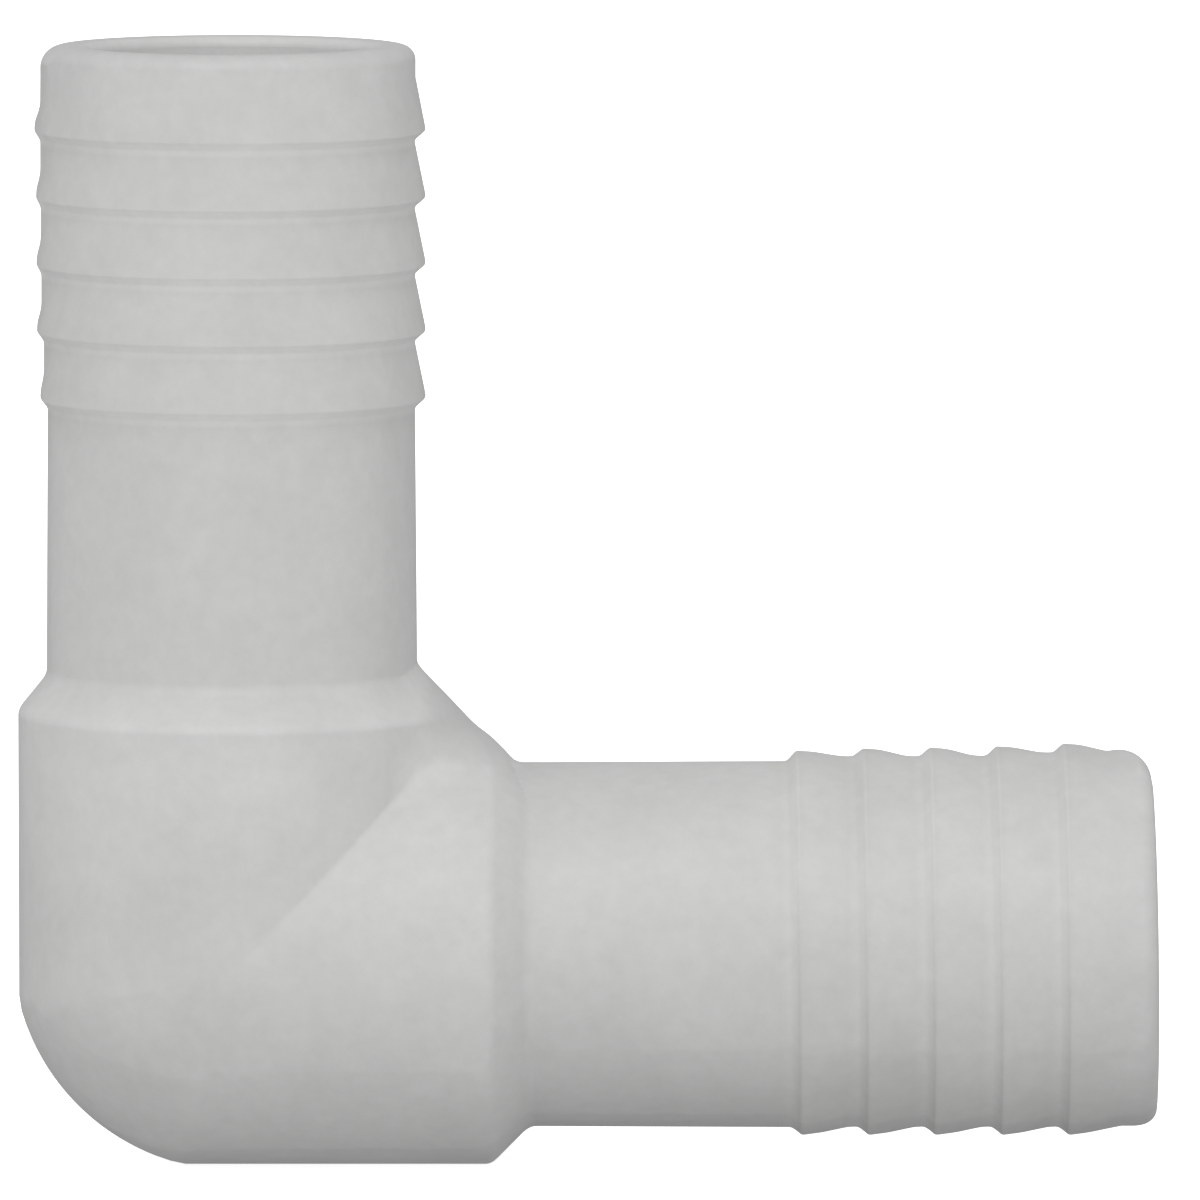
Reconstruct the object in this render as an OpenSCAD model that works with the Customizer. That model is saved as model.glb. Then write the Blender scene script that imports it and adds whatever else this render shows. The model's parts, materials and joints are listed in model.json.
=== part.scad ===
// Right-angle hose fitting: one tubular moulding with a barbed spigot at each end.
// The origin is where the two bore axes cross. The upper spigot points along +Z and the
// side spigot along +X, so both axes lie in the XZ plane. Millimetres.
// The moulding is drawn as three zones that meet face to face: the elbow body and two spigots.

/* [Spigots] */
// Outer diameter of the plain part of each spigot, the size of the hose
spigot_d = 28.6; // [26:0.1:30]
// Length of each spigot, from the foot of its shoulder to its end
spigot_len = 49; // [46:0.1:56]
// Radius of the rounded nose at each spigot's end
nose_r = 1.2; // [0.6:0.1:1.8]

/* [Barbs] */
// Number of barbs on each spigot
barb_count = 5; // [2:1:5]
// Diameter over the barb crests
crest_d = 30.2; // [29.6:0.1:31]
// Diameter at the thin end of each barb's ramp
root_d = 28.6; // [28.6:0.1:29.2]
// Distance from one barb to the next
barb_pitch = 5.2; // [4:0.05:5.4]
// Width of the flat land on each crest
crest_land = 0.6; // [0.3:0.1:1.2]
// Length of the step behind each crest
barb_step = 0.6; // [0.3:0.1:1]
// Plain length between the shoulder and the first barb
plain_len = 20.8; // [15:0.1:22]

/* [Body] */
// Outer diameter of the elbow body
body_d = 33.8; // [32:0.1:38]
// Distance from the origin to the foot of the upper shoulder
upper_shoulder = 21.2; // [20.6:0.1:26]
// Distance from the origin to the foot of the side shoulder
side_shoulder = 22.8; // [20.6:0.1:28]
// How much further than the body's radius the rounded outer corner reaches
corner_swell = 0.4; // [0.1:0.1:2]
// Length of the tapered shoulder along the spigot
shoulder_len = 2.8; // [1.5:0.1:3]
// Radius of the gusset that fills the inner corner
gusset_r = 6; // [5:0.1:13]
// Sum of X and Z along the gusset's outer line
gusset_reach = 36.2; // [35:0.1:36.8]

/* [Bore] */
// Diameter of the bore, which runs from both ends to the crossing
bore_d = 22.4; // [20:0.1:24]
// Width of the bevel at each mouth
mouth_bevel = 0.5; // [0.2:0.1:0.8]

/* [Hidden] */
nylon = [0.80, 0.80, 0.79];
$fn = 128;
spigot_r = spigot_d / 2;
crest_r = crest_d / 2;
root_r = root_d / 2;
body_r = body_d / 2;
bore_r = bore_d / 2;
corner_reach = body_r + corner_swell;
// The gusset's end edges lie this far under the surface of the spigots
gusset_bury = 0.3;
// The zones meet on the plain part, this far past the foot of each shoulder
seam_gap = max(1.5, gusset_reach - spigot_r + 2 * gusset_bury - upper_shoulder);
upper_seam = upper_shoulder + seam_gap;
side_seam = side_shoulder + seam_gap;
// Where the gusset's own axis crosses the XZ plane, the same in X and Z
gusset_centre = gusset_reach / 2 - gusset_r / sqrt(2);
gusset_len = sqrt(2) * (gusset_reach - 2 * (spigot_r - gusset_bury));
// Length that takes a cut clear of the material
clear = 1;

// Turns a shape that was drawn along +Z so that it lies along +X
module along_x() {
    rotate([0, 90, 0]) children();
}

// Solid stub of the body: plain cylinder, tapered shoulder, then a short length of spigot
module body_stub(shoulder, seam) {
    cylinder(r = body_r, h = shoulder - shoulder_len);
    translate([0, 0, shoulder - shoulder_len])
        cylinder(r1 = body_r, r2 = spigot_r, h = shoulder_len);
    translate([0, 0, shoulder])
        cylinder(r = spigot_r, h = seam - shoulder);
}

// Where the two legs of the body cross, rounded on the outside
module outer_corner() {
    intersection() {
        cylinder(r = body_r, h = 2 * corner_reach, center = true);
        along_x() cylinder(r = body_r, h = 2 * corner_reach, center = true);
        sphere(r = corner_reach);
    }
}

// Round bar at 45 degrees across the inner corner
module gusset() {
    translate([gusset_centre, 0, gusset_centre])
        rotate([0, 135, 0])
            cylinder(r = gusset_r, h = gusset_len, center = true);
}

// Both cores and the round end that they share at the crossing
module body_bore() {
    cylinder(r = bore_r, h = upper_seam + clear);
    along_x() cylinder(r = bore_r, h = side_seam + clear);
    sphere(r = bore_r);
}

module elbow_body() {
    color(nylon)
        difference() {
            union() {
                body_stub(upper_shoulder, upper_seam);
                along_x() body_stub(side_shoulder, side_seam);
                outer_corner();
                gusset();
            }
            body_bore();
        }
}

// Half outline of the barbs: a step out to the crest, its land, then a ramp down to the next
function barb_outline(foot) = [
    for (i = [0 : barb_count - 1])
        let (z = foot + i * barb_pitch, behind_r = i == 0 ? spigot_r : root_r)
            each [
                [behind_r, z],
                [crest_r, z + barb_step],
                [crest_r, z + barb_step + crest_land]
            ]
];

// Spigot along +Z, from the seam to its end, with its foot at the given height
module spigot(shoulder, seam) {
    end = shoulder + spigot_len;
    nose_foot = end - nose_r;
    difference() {
        rotate_extrude() {
            polygon(concat(
                [[0, seam], [spigot_r, seam]],
                barb_outline(shoulder + plain_len),
                [[root_r, nose_foot], [0, nose_foot]]
            ));
            translate([0, nose_foot])
                square([root_r - nose_r, nose_r]);
            intersection() {
                translate([root_r - nose_r, nose_foot]) circle(r = nose_r);
                translate([root_r - nose_r, nose_foot]) square(nose_r + clear);
            }
        }
        translate([0, 0, seam - clear])
            cylinder(r = bore_r, h = end - seam + 2 * clear);
        translate([0, 0, end - mouth_bevel])
            cylinder(r1 = bore_r, r2 = bore_r + mouth_bevel + clear, h = mouth_bevel + clear);
    }
}

module upper_spigot() {
    color(nylon) spigot(upper_shoulder, upper_seam);
}

module side_spigot() {
    color(nylon) along_x() spigot(side_shoulder, side_seam);
}

elbow_body();
upper_spigot();
side_spigot();
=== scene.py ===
"""Looks of the right-angle hose fitting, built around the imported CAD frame.

Shapes are worked out in millimetres; MM turns them into Blender's metres.
"""

import json
import math

import bpy
import numpy as np
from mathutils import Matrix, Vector


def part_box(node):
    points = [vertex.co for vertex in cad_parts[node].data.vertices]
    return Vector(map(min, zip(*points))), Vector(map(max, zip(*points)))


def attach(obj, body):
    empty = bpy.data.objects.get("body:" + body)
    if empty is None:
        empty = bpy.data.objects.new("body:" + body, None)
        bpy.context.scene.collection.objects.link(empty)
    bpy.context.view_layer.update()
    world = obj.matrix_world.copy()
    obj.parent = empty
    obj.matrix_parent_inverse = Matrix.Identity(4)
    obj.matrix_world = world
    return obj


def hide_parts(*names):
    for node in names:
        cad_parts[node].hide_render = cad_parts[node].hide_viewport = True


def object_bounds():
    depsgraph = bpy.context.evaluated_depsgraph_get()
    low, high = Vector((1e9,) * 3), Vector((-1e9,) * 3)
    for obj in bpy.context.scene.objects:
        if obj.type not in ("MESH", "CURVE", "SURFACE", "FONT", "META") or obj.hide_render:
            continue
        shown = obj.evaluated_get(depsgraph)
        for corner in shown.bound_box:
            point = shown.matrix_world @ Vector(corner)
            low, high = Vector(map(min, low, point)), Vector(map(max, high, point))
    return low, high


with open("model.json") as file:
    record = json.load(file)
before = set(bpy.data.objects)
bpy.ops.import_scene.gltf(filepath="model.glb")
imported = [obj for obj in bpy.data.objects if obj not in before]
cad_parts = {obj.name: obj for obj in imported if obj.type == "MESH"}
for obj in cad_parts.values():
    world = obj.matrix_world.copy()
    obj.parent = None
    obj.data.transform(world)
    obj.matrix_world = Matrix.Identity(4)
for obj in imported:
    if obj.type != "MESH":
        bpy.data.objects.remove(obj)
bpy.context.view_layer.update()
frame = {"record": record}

MM = 0.001

# ---------------------------------------------------------------- what the frame says, in millimetres
body_hi = np.array(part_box("elbow_body")[1]) / MM
upper_lo, upper_hi = (np.array(c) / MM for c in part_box("upper_spigot"))
side_lo, side_hi = (np.array(c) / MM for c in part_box("side_spigot"))
mounts = {m["name"]: m for m in frame["record"]["mounts"]}
BORE_R = mounts["upper_bore"]["dims"]["r_mm"]
CREST_R = mounts["upper_hose_spigot"]["dims"]["r_mm"]
UPPER_SEAM, SIDE_SEAM = upper_lo[2], side_lo[0]
UPPER_END, SIDE_END = upper_hi[2], side_hi[0]
BODY_R = body_hi[1]
FIRST_CREST_UPPER = mounts["upper_hose_spigot"]["pos_m"][2] / MM
FIRST_CREST_SIDE = mounts["side_hose_spigot"]["pos_m"][0] / MM

# ---------------------------------------------------------------- shape detail that the CAD leaves out
SHIFT = 0.24          # the body sits this far towards the inside of the bend, and down, off the bores' axes
NECK_UPPER_R = 14.42  # neck radius at the seam; moulding draft takes it down towards the barbs
NECK_SIDE_R = 14.2
NECK_TIP_R = 14.28    # neck radius at the first barb
UPPER_FOOT, UPPER_TOP = 21.2, 18.45   # shoulder: where it meets the neck, and where it meets the body
SIDE_FOOT, SIDE_TOP = 23.15, 20.2
FOOT_ROUND, TOP_ROUND = 0.55, 0.45   # half-lengths of the rounded shoulder edges
CORNER_REACH = 17.42  # from the body's centre to the rounded outer corner
CORNER_BLEND = 0.06
VALLEY_R = 0.9        # fillet in the mitre valley
VALLEY_CORNER_R = 2.5         # the same near the inner corner
VALLEY_SOFTENS = (12.5, 16.0) # the distances, equal in x and z, over which it grows
INNER_REACH = 36.14   # x + z on the slanted edge that closes the inner corner, where x equals z
INNER_TILT = 0.028    # how far that edge is turned from 45 degrees
GUSSET_R = 11.0       # radius of the round bar behind that edge
GUSSET_BLEND = 1.2    # fillet between that edge and the legs; it fades out towards the seams
GUSSET_FADE = 3.0     # length before a seam over which it fades
SHOULDER_SOFT = 1.2   # rounding where that edge cuts the shoulders
AROUND = 256          # points round every section
SPIGOT_RINGS = 240    # rings along the barbs of a spigot

BARBS = 5
BARB_PITCH = 5.2
BARB_STEP = 0.75      # length of the slope behind each crest
CREST_LAND = 0.25
ROOT_R = 14.25
LIP_R = 0.8           # rounding of the mouth's inner edge
STEP_ROUND, LAND_ROUND = 0.25, 0.2  # rounding of a barb's step, and of its land's far edge
BUMP_ROUND = 0.6      # rounding of a parting-line bump
BUMP_SAG = 0.05       # how far the bump has dropped a third of the way along it
BARBS_BEFORE = 1.2    # the closely spaced rings start this far before the first crest
NECK_RINGS, NOSE_RINGS, LIP_RINGS = 12, 15, 8
EDGE_HALF = math.radians(13)  # half-width of the parting lines at the inside and the outside of the bend
EDGE_FADE = 0.35      # how gradually a parting line runs out, as a share of its half-width
LEAN_FROM, LEAN_OVER = 8.0, 8.0  # a spigot's lean starts this far past the seam and is full this much further
BACK_OVER = 3.0       # the shift of the barbs runs out over this length at the spigot's end
BARB_SOFTNESS = 0.95  # how far the barbs' normals are bent to the radius, to shade as softly as milky plastic
SOFT_FADE = 0.3       # length over which that stops at the nose
# Each side of a spigot: radius of each barb's valley and of each crest, radius at the tip, nose rounding, and
# the length of the bump that each crest makes in a parting line (none where the barbs are clean).
CLEAN_NOSE_R = 1.15
CLEAN = ((ROOT_R,) * BARBS, (CREST_R,) * BARBS, 14.35, CLEAN_NOSE_R, None)
UPPER_OUTER = ((14.57, 14.75, 14.78, 14.8, 14.8), (14.85, 15.1, 15.12, 15.14, 15.25), 14.78, 1.7, 1.6)
SIDE_INNER = ((14.68, 14.68, 14.72, 14.98, 15.08), (15.08, 15.25, 15.32, 15.43, 15.64), 15.2, 2.4, 3.2)
SIDE_OUTER = ((ROOT_R,) * BARBS, (14.78,) * BARBS, 14.15, 2.45, 3.4)
NOSE_ZONE = 2.5       # length at the end that holds the nose's rounding
SIDE_LEAN = 0.014     # slope of the side spigot's barbs and end
SIDE_BACK = 0.25      # shift of its barbs towards the elbow


def ramp(v, w):
    """max(0, v) with its corner rounded over +-w."""
    return np.where(v > w, v, np.where(v < -w, 0.0, (v + w) ** 2 / (4 * w)))


def stub_radius(v, foot, top, body_r, neck_r):
    """Outer radius of one leg of the body at height v: neck, shoulder, body."""
    slope = (body_r - neck_r) / (foot - top)
    return neck_r + slope * (ramp(foot - v, FOOT_ROUND) - ramp(top - v, TOP_ROUND))


def round_union(a, b, r):
    """Union of two distance fields with a fillet of radius r between them."""
    u = np.maximum(r - a, 0)
    v = np.maximum(r - b, 0)
    return np.maximum(r, np.minimum(a, b)) - np.sqrt(u * u + v * v)


def round_cut(a, b, r):
    """The part common to two distance fields, with an outer rounding of radius r."""
    return -round_union(-a, -b, r)


def outer_field(x, y, z):
    """Signed field of the elbow body's outside: negative inside."""
    ru = stub_radius(z, UPPER_FOOT, UPPER_TOP, BODY_R, NECK_UPPER_R)
    rs = stub_radius(x, SIDE_FOOT, SIDE_TOP, BODY_R, NECK_SIDE_R)
    shift_u = SHIFT * (ru - NECK_UPPER_R) / (BODY_R - NECK_UPPER_R)
    shift_s = SHIFT * (rs - NECK_SIDE_R) / (BODY_R - NECK_SIDE_R)
    cut = ((1 + INNER_TILT) * x + (1 - INNER_TILT) * z - INNER_REACH) / math.sqrt(2)
    a = np.hypot(x - shift_u, y) - ru
    a = np.minimum(np.hypot(x, y) - NECK_UPPER_R, round_cut(a, cut, SHOULDER_SOFT))
    b = np.hypot(z + shift_s, y) - rs
    b = np.minimum(np.hypot(z, y) - NECK_SIDE_R, round_cut(b, cut, SHOULDER_SOFT))
    bx, bz = x - SHIFT, z + SHIFT
    # outer corner: elliptical sections whose reach follows a rounded square
    theta = np.arctan2(np.maximum(-bz, 1e-9), np.maximum(-bx, 1e-9))
    square = BODY_R / np.maximum(np.cos(theta), np.sin(theta))
    reach = CORNER_REACH - ramp(CORNER_REACH - square, CORNER_BLEND)
    corner = BODY_R * (np.sqrt((bx * bx + bz * bz) / reach ** 2 + (y / BODY_R) ** 2) - 1)
    # inner side: mitre valley whose fillet fades where the legs run into each other
    meet = np.arccos(np.clip((y / BODY_R) ** 2, 0, 1 - 1e-9))
    nearer = np.clip(((x + z) / 2 - VALLEY_SOFTENS[0]) / (VALLEY_SOFTENS[1] - VALLEY_SOFTENS[0]), 0, 1)
    fillet = VALLEY_R + (VALLEY_CORNER_R - VALLEY_R) * nearer * nearer * (3 - 2 * nearer)
    valley = fillet * (1 / np.cos(meet / 2) - 1) / (math.sqrt(2) - 1) + 1e-6
    inner = round_union(a, b, valley)
    bar = np.hypot(cut + GUSSET_R, y) - GUSSET_R
    clear = np.clip(np.minimum(UPPER_SEAM - z, SIDE_SEAM - x) / GUSSET_FADE, 0, 1)
    inner = np.where((x > 0) & (z > 0), round_union(inner, bar, GUSSET_BLEND * clear + 1e-6), inner)
    return np.where(
        (bx < 0) & (bz < 0), corner, np.where(bx < 0, a, np.where(bz < 0, b, inner))
    )


def bore_field(x, y, z):
    """Signed field of the passage: negative in the passage."""
    a = np.hypot(x, y) - BORE_R
    b = np.hypot(z, y) - BORE_R
    ball = np.sqrt(x * x + y * y + z * z) - BORE_R
    return np.where((x < 0) & (z < 0), ball, np.where(x < 0, a, np.where(z < 0, b, np.minimum(a, b))))


def gradient(field, p, step=0.02):
    """Unit normals of a field at the points p, from differences over +-step."""
    g = np.empty_like(p)
    for k in range(3):
        d = np.zeros(3)
        d[k] = step
        hi, lo = p + d, p - d
        g[..., k] = field(*np.moveaxis(hi, -1, 0)) - field(*np.moveaxis(lo, -1, 0))
    return g / np.maximum(np.linalg.norm(g, axis=-1, keepdims=True), 1e-12)


def spaced(*stretches):
    """Rising or falling values: each stretch is (start, stop, step)."""
    out = []
    for start, stop, step in stretches:
        n = max(1, int(round(abs(stop - start) / step)))
        out += list(np.linspace(start, stop, n, endpoint=False))
    return np.array(out + [stretches[-1][1]])


def stations():
    """Section planes along the bend, closer together where the shoulders and the mitre turn.

    Each is a point in the plane and the plane's direction towards the inner corner.
    """
    px, pz = 18.95, 17.85  # the fan of planes turns about this point
    rows = []
    for z in spaced((UPPER_SEAM, 21.95, 0.25), (21.95, 20.6, 0.15), (20.6, 19.1, 0.3), (19.1, pz, 0.15)):
        rows.append(((0.0, z), (1.0, 0.0)))
    fan = spaced((0, 6, 1.0), (6, 36, 1.5), (36, 54, 0.6), (54, 84, 1.5), (84, 90, 1.0))[1:-1]
    for deg in fan:
        phi = math.radians(deg)
        c, s = math.cos(phi), math.sin(phi)
        away = (1 + 0.3 * math.sin(2 * phi) ** 2) / math.hypot(c / px, s / pz)
        rows.append(((px - away * c, pz - away * s), (c, s)))
    shoulder = (19.5, 20.7, 0.15), (20.7, 22.3, 0.3), (22.3, 23.7, 0.15)
    for x in spaced((px, 19.5, 0.25), *shoulder, (23.7, SIDE_SEAM, 0.25)):
        rows.append(((x, 0.0), (0.0, 1.0)))
    return rows


def cast(field, rows, reach=60.0):
    """Where rays from each station's centre leave the field: array station x angle x 3."""
    beta = np.arange(AROUND) * 2 * math.pi / AROUND
    centre = np.array([[x, 0.0, z] for (x, z), _ in rows])[:, None, :]
    along = np.array([[c, 0.0, s] for _, (c, s) in rows])[:, None, :]
    ray = along * np.cos(beta)[None, :, None] + np.array([0.0, 1.0, 0.0]) * np.sin(beta)[None, :, None]
    lo = np.zeros(ray.shape[:2])
    hi = np.full(ray.shape[:2], reach)
    for _ in range(40):
        mid = (lo + hi) / 2
        p = centre + ray * mid[..., None]
        inside = field(p[..., 0], p[..., 1], p[..., 2]) < 0
        lo = np.where(inside, mid, lo)
        hi = np.where(inside, hi, mid)
    return centre + ray * ((lo + hi) / 2)[..., None]


def make_piece(name, sheets, node, material):
    """A closed mesh from sheets of rings, where neighbouring sheets share a ring.

    Each sheet is (points, normals), both ring x angle x 3.
    """
    verts, quads, corner_normals = [], [], []
    offset = {}
    for pts, nrm in sheets:
        rings = len(pts)
        index = np.empty((rings, AROUND), int)
        for r in range(rings):
            key = tuple(np.round(pts[r, 0], 5)) + tuple(np.round(pts[r, AROUND // 3], 5))
            if key not in offset:
                offset[key] = sum(len(v) for v in verts)
                verts.append(pts[r])
            index[r] = offset[key] + np.arange(AROUND)
        a, b = index[:-1], index[1:]
        na, nb = nrm[:-1], nrm[1:]
        quad = np.stack([a, b, np.roll(b, -1, 1), np.roll(a, -1, 1)], -1).reshape(-1, 4)
        norm = np.stack([na, nb, np.roll(nb, -1, 1), np.roll(na, -1, 1)], -2).reshape(-1, 4, 3)
        quads.append(quad)
        corner_normals.append(norm)
    verts = np.concatenate(verts) * MM
    quads = np.concatenate(quads)
    corner_normals = np.concatenate(corner_normals)
    # faces turn outwards: the side that their corner normals point to
    p = verts[quads]
    face = np.cross(p[:, 2] - p[:, 0], p[:, 3] - p[:, 1])
    flip = np.einsum("ij,ij->i", face, corner_normals.mean(1)) < 0
    quads[flip] = quads[flip][:, ::-1]
    corner_normals[flip] = corner_normals[flip][:, ::-1]
    mesh = bpy.data.meshes.new(name)
    mesh.from_pydata(verts.tolist(), [], quads.tolist())
    mesh.shade_smooth()
    mesh.normals_split_custom_set(corner_normals.reshape(-1, 3).tolist())
    mesh.materials.append(material)
    obj = bpy.data.objects.new(name, mesh)
    bpy.context.scene.collection.objects.link(obj)
    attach(obj, "root")
    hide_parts(node)
    return obj


def flat_ring(inner, outer, normal):
    """A flat sheet between two rings."""
    pts = np.stack([inner, outer])
    return pts, np.broadcast_to(np.array(normal, float), pts.shape).copy()


def make_elbow(material):
    """The elbow body: its outside, its passage and a flat ring at each seam."""
    rows = stations()
    out = cast(outer_field, rows)
    bore = cast(bore_field, rows)
    sheets = [
        (out, gradient(outer_field, out)),
        flat_ring(out[-1], bore[-1], (1, 0, 0)),
        (bore[::-1], -gradient(bore_field, bore)[::-1]),
        flat_ring(bore[0], out[0], (0, 0, 1)),
    ]
    return make_piece("elbow_body_skin", sheets, "elbow_body", material)


def soften(points, radii, steps=5):
    """An open outline with each inner corner replaced by a curve that starts radii[i] away from it."""
    out = [np.array(points[0], float)]
    for i in range(1, len(points) - 1):
        p, q, r = (np.array(points[k], float) for k in (i - 1, i, i + 1))
        reach = min(radii[i], 0.49 * np.linalg.norm(q - p), 0.49 * np.linalg.norm(r - q))
        if reach <= 0:
            out.append(q)
            continue
        a = q + (p - q) * reach / np.linalg.norm(p - q)
        b = q + (r - q) * reach / np.linalg.norm(r - q)
        for t in np.linspace(0, 1, steps + 1):
            out.append((1 - t) ** 2 * a + 2 * t * (1 - t) * q + t * t * b)
    out.append(np.array(points[-1], float))
    return np.array(out)


def spigot_outline(seam, first_crest, end, seam_r, side):
    """One side of a spigot as (height, radius) from the seam to the middle of the nose's rounding."""
    valleys, crests, tip_r, nose_r, bump = side
    pts, radii = [(seam, seam_r)], [0]
    for i in range(BARBS):
        crest = first_crest + i * BARB_PITCH - CREST_LAND / 2
        before = NECK_TIP_R if i == 0 else valleys[i - 1]
        pts += [(crest - BARB_STEP, before), (crest, crests[i]), (crest + CREST_LAND, crests[i])]
        radii += [STEP_ROUND, STEP_ROUND, LAND_ROUND]
        if bump:
            land_end = crest + CREST_LAND
            pts += [(land_end + bump / 3, crests[i] - BUMP_SAG), (land_end + bump, valleys[i])]
            radii += [BUMP_ROUND, BUMP_ROUND]
    pts += [(end - NOSE_ZONE, tip_r)]
    radii += [0]
    line = soften(pts, radii)
    height = np.concatenate([
        np.linspace(seam, first_crest - BARBS_BEFORE, NECK_RINGS, endpoint=False),
        np.linspace(first_crest - BARBS_BEFORE, end - NOSE_ZONE, SPIGOT_RINGS),
    ])
    radius = np.interp(height, line[:, 0], line[:, 1])
    turn = np.linspace(0, math.pi / 2, NOSE_RINGS)
    nose_h = end - nose_r + nose_r * np.sin(turn)
    nose_radius = tip_r - nose_r + nose_r * np.cos(turn)
    return np.concatenate([height, nose_h]), np.concatenate([radius, nose_radius])


def make_spigot(name, node, seam, first_crest, end, seam_r, axis, inward, sides, lean, back, material):
    """A spigot about its axis; inward points to the inside of the bend.

    sides are its inner and outer side, lean is the slope of its end, and back shifts its barbs to the elbow.
    """
    beta = np.arange(AROUND) * 2 * math.pi / AROUND
    height, clean = spigot_outline(seam, first_crest, end, seam_r, CLEAN)
    tall = np.repeat(height[:, None], AROUND, 1)
    radius = np.repeat(clean[:, None], AROUND, 1)
    for side, at in zip(sides, (0.0, math.pi)):
        off = np.abs((beta - at + math.pi) % (2 * math.pi) - math.pi)
        share = 0.5 - 0.5 * np.tanh((off - EDGE_HALF) / (EDGE_HALF * EDGE_FADE))
        h, r = spigot_outline(seam, first_crest, end, seam_r, side)
        tall += share * (h - height)[:, None]
        radius += share * (r - clean)[:, None]
    barbed = np.clip((height - seam - LEAN_FROM) / LEAN_OVER, 0, 1)[:, None]
    before_end = np.clip(end - height, 0, BACK_OVER)[:, None] / BACK_OVER
    tall -= barbed * (lean * radius * np.cos(beta) + back * before_end)
    lip_turn = np.linspace(0, math.pi / 2, LIP_RINGS)[:, None]
    lip_r = np.broadcast_to(BORE_R + LIP_R - LIP_R * np.sin(lip_turn), (LIP_RINGS, AROUND))
    lip_h = end - LIP_R + LIP_R * np.cos(lip_turn) - lean * lip_r * np.cos(beta)
    tall, radius = np.concatenate([tall, lip_h]), np.concatenate([radius, lip_r])
    axis, inward, sideways = (np.array(v, float) for v in (axis, inward, (0, 1, 0)))
    radial = inward * np.cos(beta)[:, None] + sideways * np.sin(beta)[:, None]
    out = axis * tall[..., None] + radial * radius[..., None]
    along = np.gradient(out, axis=0)
    nrm = np.cross(along, np.roll(out, -1, 1) - np.roll(out, 1, 1))
    nrm /= np.maximum(np.linalg.norm(nrm, axis=-1, keepdims=True), 1e-12)
    on_neck = nrm[NECK_RINGS // 4]
    if np.einsum("ij,ij->i", on_neck, radial).mean() < 0:
        nrm = -nrm
    soft = BARB_SOFTNESS * np.clip((end - CLEAN_NOSE_R - tall) / SOFT_FADE, 0, 1)[..., None]
    nrm += (radial - nrm) * soft
    nrm /= np.linalg.norm(nrm, axis=-1, keepdims=True)
    nrm[0] = radial
    wall = np.stack([out[-1], axis * seam + radial * BORE_R])
    wall_n = np.broadcast_to(-radial, wall.shape).copy()
    sheets = [(out, nrm), (wall, wall_n), flat_ring(wall[1], out[0], -axis)]
    return make_piece(name, sheets, node, material)


# ---------------------------------------------------------------- material
BASE = 0.48
CLOUDINESS, GRAININESS = 0.04, 0.03   # how far the mottle and the grain change the base, up and down
WARMTH = 0.998        # blue, as a share of red and green
RAMP_MM = 80.0        # length that a colour ramp's 0 to 1 stands for
# Painted light and shade along each leg, lighter on the body next to the shoulders and darker at the mouths'
# rims: (millimetres along the leg, tint).
UPPER_PAINTED_LIGHT = (
    (0.0, 0.98), (5.0, 0.99), (14.0, 1.05), (UPPER_TOP, 1.05), (UPPER_FOOT, 0.99),
    (FIRST_CREST_UPPER - 1, 0.99), (FIRST_CREST_UPPER, 1.02), (UPPER_END - 1.2, 1.02), (UPPER_END - 0.2, 0.9),
)
SIDE_PAINTED_LIGHT = ((SIDE_TOP, 1.01), (SIDE_FOOT, 0.98), (SIDE_END - 1.2, 0.98), (SIDE_END - 0.1, 0.94))
# Painted light in the notches behind the crests, against the shade the barbs cast there; on the side spigot a
# narrow band of painted shade follows it: (millimetres from a crest's edge, tint).
UPPER_NOTCH_PAINTED_LIGHT = ((-1.35, 1.0), (-0.84, 1.18), (-0.51, 1.18), (0.0, 1.0))
SIDE_NOTCH_PAINTED_LIGHT_SHADE = (
    (-1.95, 1.0), (-1.45, 1.05), (-0.98, 1.11), (-0.74, 1.105),
    (-0.54, 1.045), (-0.33, 0.97), (-0.09, 0.99), (0.2, 1.0),
)
CORNER_PAINTED_SHADE = ((14.6, 1.0), (15.8, 0.9), (17.5, 0.82))  # painted shade at the inner corner, darker towards it, by the lesser of x and z
PASSAGE_PAINTED_LIGHT = 1.2    # painted light inside the bore
PASSAGE_FADES = (0.08, 0.64)  # from here to here outside the bore's wall, in millimetres
BEHIND_BEND = 10.0    # how steeply that painted light in the passage ends behind the bend
LEG_BLEND = 8.0       # the painted light and shade pass from one leg's to the other's within this distance past the mitre
SATIN = (0.42, 0.56)  # lowest and highest roughness
PEEL_DEPTH, SWELL_DEPTH = 0.06 * MM, 0.2 * MM  # depth of the orange peel and of the slow waves under it
BUMP_STRENGTH = 0.25
COLOUR_A, COLOUR_B, COLOUR_MIXED = 6, 7, 2  # a Mix node's colour sockets


def feed(tree, value, socket):
    """Set a socket to a number, or link another node's socket to it."""
    if isinstance(value, bpy.types.NodeSocket):
        tree.links.new(value, socket)
    else:
        socket.default_value = value


def math_in(tree, operation, *values):
    node = tree.nodes.new("ShaderNodeMath")
    node.operation = operation
    for value, socket in zip(values, node.inputs):
        feed(tree, value, socket)
    return node.outputs["Value"]


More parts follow.
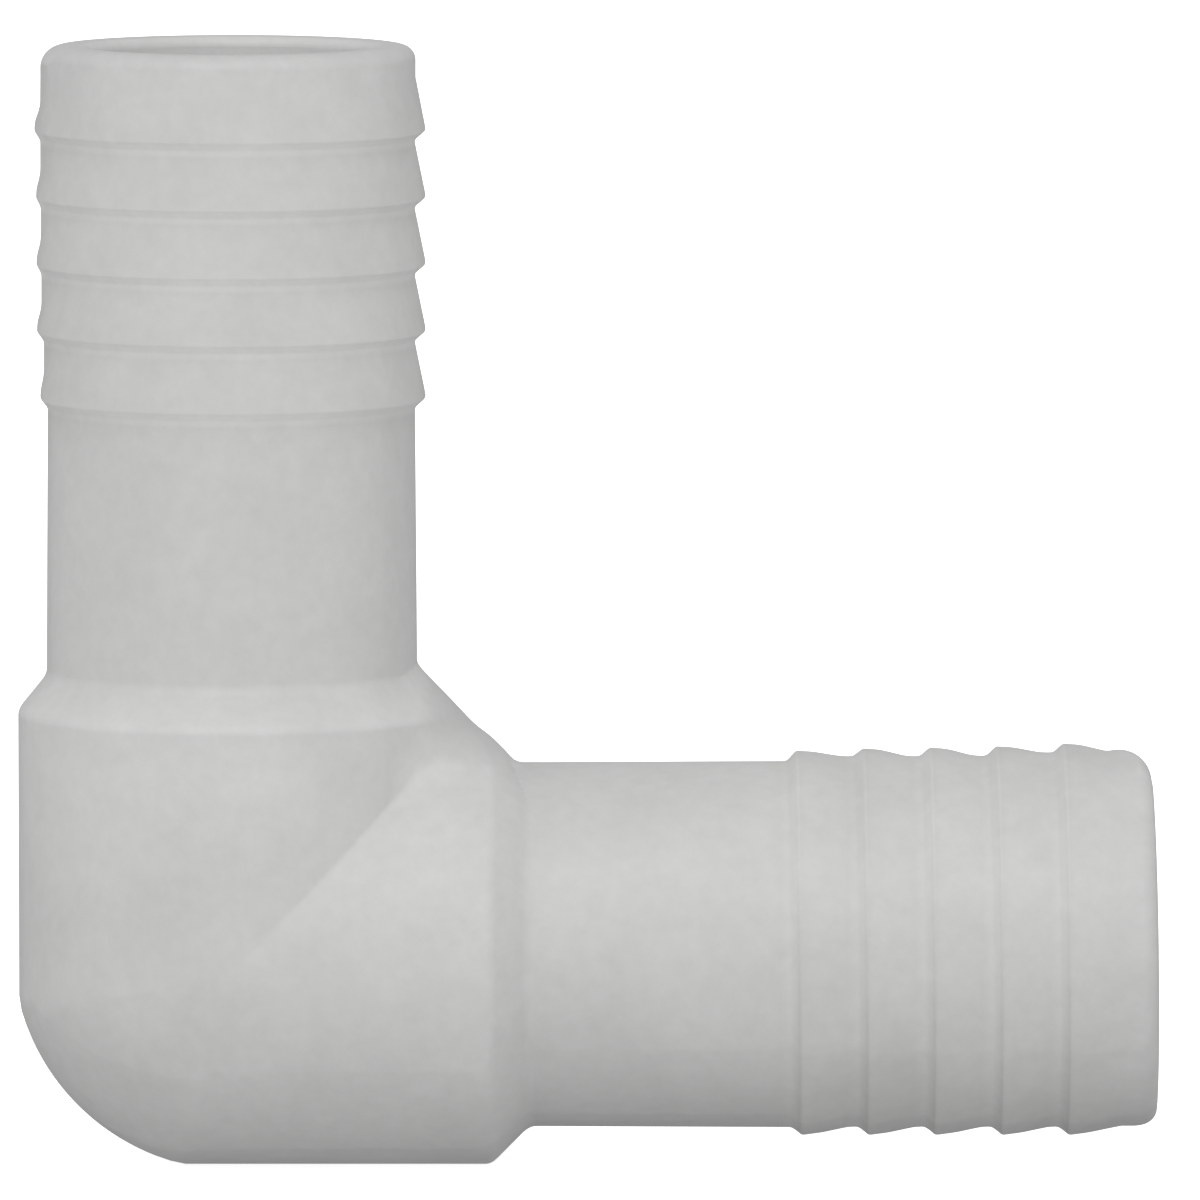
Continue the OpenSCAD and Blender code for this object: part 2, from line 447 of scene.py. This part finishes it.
def nylon():
    """Milky as-moulded nylon: satin, faintly mottled, with a fine orange-peel skin, and with painted light and
    shade along the legs, in the notches, at the inner corner and in the bore.
    """
    mat = bpy.data.materials.new("milky_nylon")
    mat.use_nodes = True
    nodes, links = mat.node_tree.nodes, mat.node_tree.links
    shader = nodes["Principled BSDF"]
    shader.inputs["IOR"].default_value = 1.5
    shader.inputs["Specular IOR Level"].default_value = 0.5
    place = nodes.new("ShaderNodeTexCoord").outputs["Object"]
    apart = nodes.new("ShaderNodeSeparateXYZ")
    links.new(place, apart.inputs["Vector"])

    def math_node(operation, *values):
        return math_in(mat.node_tree, operation, *values)

    def noise(scale, detail, rough):
        node = nodes.new("ShaderNodeTexNoise")
        node.inputs["Scale"].default_value = scale
        node.inputs["Detail"].default_value = detail
        node.inputs["Roughness"].default_value = rough
        links.new(place, node.inputs["Vector"])
        return node.outputs["Fac"]

    def shade(amount, stops):
        """A grey that follows the stops (position, brightness)."""
        node = nodes.new("ShaderNodeValToRGB")
        elements = node.color_ramp.elements
        while len(elements) < len(stops):
            elements.new(1.0)
        for element, (at, value) in zip(elements, stops):
            element.position = at
            element.color = (value, value, value * WARMTH, 1)
        links.new(amount, node.inputs["Fac"])
        return node.outputs["Color"]

    def times(*colours):
        product = colours[0]
        for colour in colours[1:]:
            node = nodes.new("ShaderNodeVectorMath")
            node.operation = "MULTIPLY"
            links.new(product, node.inputs[0])
            links.new(colour, node.inputs[1])
            product = node.outputs["Vector"]
        return product

    def mix(share, colour_a, colour_b):
        node = nodes.new("ShaderNodeMix")
        node.data_type = "RGBA"
        links.new(share, node.inputs["Factor"])
        feed(mat.node_tree, colour_a, node.inputs[COLOUR_A])
        feed(mat.node_tree, colour_b, node.inputs[COLOUR_B])
        return node.outputs[COLOUR_MIXED]

    def by_length(metres, painted_stops):
        """Painted light and shade by a length in metres, from stops (millimetres, tint)."""
        share = math_node("MULTIPLY", metres, 1 / (RAMP_MM * MM))
        return shade(share, [(at / RAMP_MM, tint) for at, tint in painted_stops])

    def off_axis(axis):
        """Distance from the X or the Z axis."""
        flat = nodes.new("ShaderNodeVectorMath")
        flat.operation = "MULTIPLY"
        links.new(place, flat.inputs[0])
        flat.inputs[1].default_value = (0.0, 1.0, 1.0) if axis == "X" else (1.0, 1.0, 0.0)
        distance = nodes.new("ShaderNodeVectorMath")
        distance.operation = "LENGTH"
        links.new(flat.outputs["Vector"], distance.inputs[0])
        return distance.outputs["Value"]

    def off_bore(axis):
        """The same, but growing fast behind the bend, where the bore has ended."""
        behind = math_node("MINIMUM", apart.outputs[axis], 0.0)
        return math_node("ADD", off_axis(axis), math_node("MULTIPLY", behind, -BEHIND_BEND))

    def notches(axis, first_crest, painted_stops):
        """Painted light and shade in the notches on the outside of a spigot, the same at every crest."""
        past_start = math_node("SUBTRACT", apart.outputs[axis], (first_crest - BARB_PITCH / 2) * MM)
        turns = math_node("MULTIPLY", past_start, 1 / (BARB_PITCH * MM))
        on_barbs = math_node("COMPARE", turns, BARBS / 2, BARBS / 2)
        outside = math_node("GREATER_THAN", off_axis(axis), (BORE_R + ROOT_R) / 2 * MM)
        notch_light_shade = shade(math_node("FRACT", turns), [(0.5 + at / BARB_PITCH, tint) for at, tint in painted_stops])
        return mix(math_node("MULTIPLY", on_barbs, outside), (1, 1, 1, 1), notch_light_shade)

    def bump(height, distance, under=None):
        node = nodes.new("ShaderNodeBump")
        node.inputs["Strength"].default_value = BUMP_STRENGTH
        node.inputs["Distance"].default_value = distance
        links.new(height, node.inputs["Height"])
        if under:
            links.new(under, node.inputs["Normal"])
        return node.outputs["Normal"]

    clouds = shade(noise(110, 4, 0.6), [(0.3, BASE * (1 - CLOUDINESS)), (0.7, BASE * (1 + CLOUDINESS))])
    grain = shade(noise(800, 4, 0.65), [(0.3, 1 - GRAININESS), (0.7, 1 + GRAININESS)])
    leg = nodes.new("ShaderNodeMapRange")
    leg.inputs["From Max"].default_value = LEG_BLEND * MM
    links.new(math_node("SUBTRACT", apart.outputs["X"], apart.outputs["Z"]), leg.inputs["Value"])
    # painted light and shade along each leg
    up_leg = by_length(apart.outputs["Z"], UPPER_PAINTED_LIGHT)
    side_leg = by_length(apart.outputs["X"], SIDE_PAINTED_LIGHT)
    painted_light_along_legs = mix(leg.outputs["Result"], up_leg, side_leg)
    # painted light in the notches behind the crests, with painted shade beside it on the side spigot
    painted_light_behind_crests = times(
        notches("Z", FIRST_CREST_UPPER, UPPER_NOTCH_PAINTED_LIGHT), notches("X", FIRST_CREST_SIDE, SIDE_NOTCH_PAINTED_LIGHT_SHADE)
    )
    # painted shade at the inner corner
    corner = by_length(math_node("MINIMUM", apart.outputs["X"], apart.outputs["Z"]), CORNER_PAINTED_SHADE)
    # painted light inside the bore
    lit_until, plain_from = (BORE_R + fade for fade in PASSAGE_FADES)
    passage = by_length(
        math_node("MINIMUM", off_bore("X"), off_bore("Z")), ((lit_until, PASSAGE_PAINTED_LIGHT), (plain_from, 1.0))
    )
    colour = times(clouds, grain, painted_light_along_legs, painted_light_behind_crests, corner, passage)
    links.new(colour, shader.inputs["Base Color"])
    sheen = nodes.new("ShaderNodeMapRange")
    sheen.inputs["To Min"].default_value, sheen.inputs["To Max"].default_value = SATIN
    links.new(noise(300, 3, 0.6), sheen.inputs["Value"])
    links.new(sheen.outputs["Result"], shader.inputs["Roughness"])
    peel = bump(noise(900, 3, 0.55), PEEL_DEPTH)
    links.new(bump(noise(220, 2, 0.5), SWELL_DEPTH, under=peel), shader.inputs["Normal"])
    return mat


# ---------------------------------------------------------------- camera
FRAME_MM = 93.4            # width of the picture at the fitting's distance
DISTANCE_MM = 1240.0
PITCH = math.radians(5.5)
AIM = Vector((28.65, 0.0, 26.95)) * MM
cam_data = bpy.data.cameras.new("camera")
cam_data.sensor_width = 36.0
cam_data.lens = cam_data.sensor_width * DISTANCE_MM / FRAME_MM
cam_data.clip_start, cam_data.clip_end = 0.01, 50.0
camera = bpy.data.objects.new("camera", cam_data)
bpy.context.scene.collection.objects.link(camera)
back = Vector((0.0, -math.cos(PITCH), math.sin(PITCH)))
camera.location = AIM + back * DISTANCE_MM * MM
camera.rotation_mode = "QUATERNION"
camera.rotation_quaternion = (-back).to_track_quat("-Z", "Y")
bpy.context.scene.camera = camera

# ---------------------------------------------------------------- the fitting
material = nylon()
make_elbow(material)
make_spigot(
    "upper_spigot_skin", "upper_spigot", UPPER_SEAM, FIRST_CREST_UPPER, UPPER_END,
    NECK_UPPER_R, (0, 0, 1), (1, 0, 0), (CLEAN, UPPER_OUTER), 0.0, 0.0, material,
)
make_spigot(
    "side_spigot_skin", "side_spigot", SIDE_SEAM, FIRST_CREST_SIDE, SIDE_END,
    NECK_SIDE_R, (1, 0, 0), (0, 0, 1), (SIDE_INNER, SIDE_OUTER), SIDE_LEAN, SIDE_BACK, material,
)

# ---------------------------------------------------------------- floor and light
FLOOR_HALF = 6.0      # half of the floor's side, in metres
floor_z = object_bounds()[0].z
floor_mesh = bpy.data.meshes.new("floor")
floor_mesh.from_pydata(
    [(x * FLOOR_HALF, y * FLOOR_HALF, floor_z) for x, y in ((-1, -1), (1, -1), (1, 1), (-1, 1))],
    [], [(0, 1, 2, 3)],
)
floor = bpy.data.objects.new("floor", floor_mesh)
bpy.context.scene.collection.objects.link(floor)
floor_mat = bpy.data.materials.new("pale_floor")
floor_mat.use_nodes = True
floor_shader = floor_mat.node_tree.nodes["Principled BSDF"]
floor_shader.inputs["Base Color"].default_value = (0.97, 0.97, 0.97, 1)
floor_shader.inputs["Roughness"].default_value = 1.0
floor_shader.inputs["Specular IOR Level"].default_value = 0.0
floor_shader.inputs["Emission Color"].default_value = (1, 1, 1, 1)
floor_shader.inputs["Emission Strength"].default_value = 0.7
floor_mat.cycles.emission_sampling = "NONE"
floor_mesh.materials.append(floor_mat)
floor.visible_diffuse = False
floor.visible_glossy = False

SKY_LEVEL = 0.75                # brightness of the studio all round
SKY_SLOPE = (0.0, -0.36, 0.31)  # how much brighter it is towards the camera and overhead
SKY_CURVE = (0.16, 0.0, 0.02)   # and how much brighter at both ends of each axis
world = bpy.data.worlds.new("studio")
bpy.context.scene.world = world
world.use_nodes = True
world_nodes, world_links = world.node_tree.nodes, world.node_tree.links
sky = world_nodes["Background"]
sky.inputs["Color"].default_value = (1, 1, 1, 1)
direction = world_nodes.new("ShaderNodeTexCoord").outputs["Generated"]


def weighed(vector, weights):
    """The sum of a vector's parts, each times its weight."""
    dot = world_nodes.new("ShaderNodeVectorMath")
    dot.operation = "DOT_PRODUCT"
    dot.inputs[1].default_value = weights
    world_links.new(vector, dot.inputs[0])
    return dot.outputs["Value"]


squared = world_nodes.new("ShaderNodeVectorMath")
squared.operation = "MULTIPLY"
world_links.new(direction, squared.inputs[0])
world_links.new(direction, squared.inputs[1])
level = math_in(world.node_tree, "ADD", weighed(direction, SKY_SLOPE), SKY_LEVEL)
curve = weighed(squared.outputs["Vector"], SKY_CURVE)
world_links.new(math_in(world.node_tree, "ADD", level, curve), sky.inputs["Strength"])


def softbox(name, azimuth, elevation, distance, size, watts):
    """A square area light aimed at the fitting; azimuth 0 is the camera's side."""
    a, e = math.radians(azimuth), math.radians(elevation)
    way = Vector((math.sin(a) * math.cos(e), -math.cos(a) * math.cos(e), math.sin(e)))
    data = bpy.data.lights.new(name, "AREA")
    data.shape = "SQUARE"
    data.size = size
    data.energy = watts
    lamp = bpy.data.objects.new(name, data)
    lamp.location = AIM + way * distance
    lamp.rotation_mode = "QUATERNION"
    lamp.rotation_quaternion = (-way).to_track_quat("-Z", "Y")
    bpy.context.scene.collection.objects.link(lamp)


softbox("key", -12, 43, 1.2, 0.5, 2.3)
bpy.context.scene.view_settings.view_transform = "Standard"
bpy.context.scene.view_settings.look = "None"
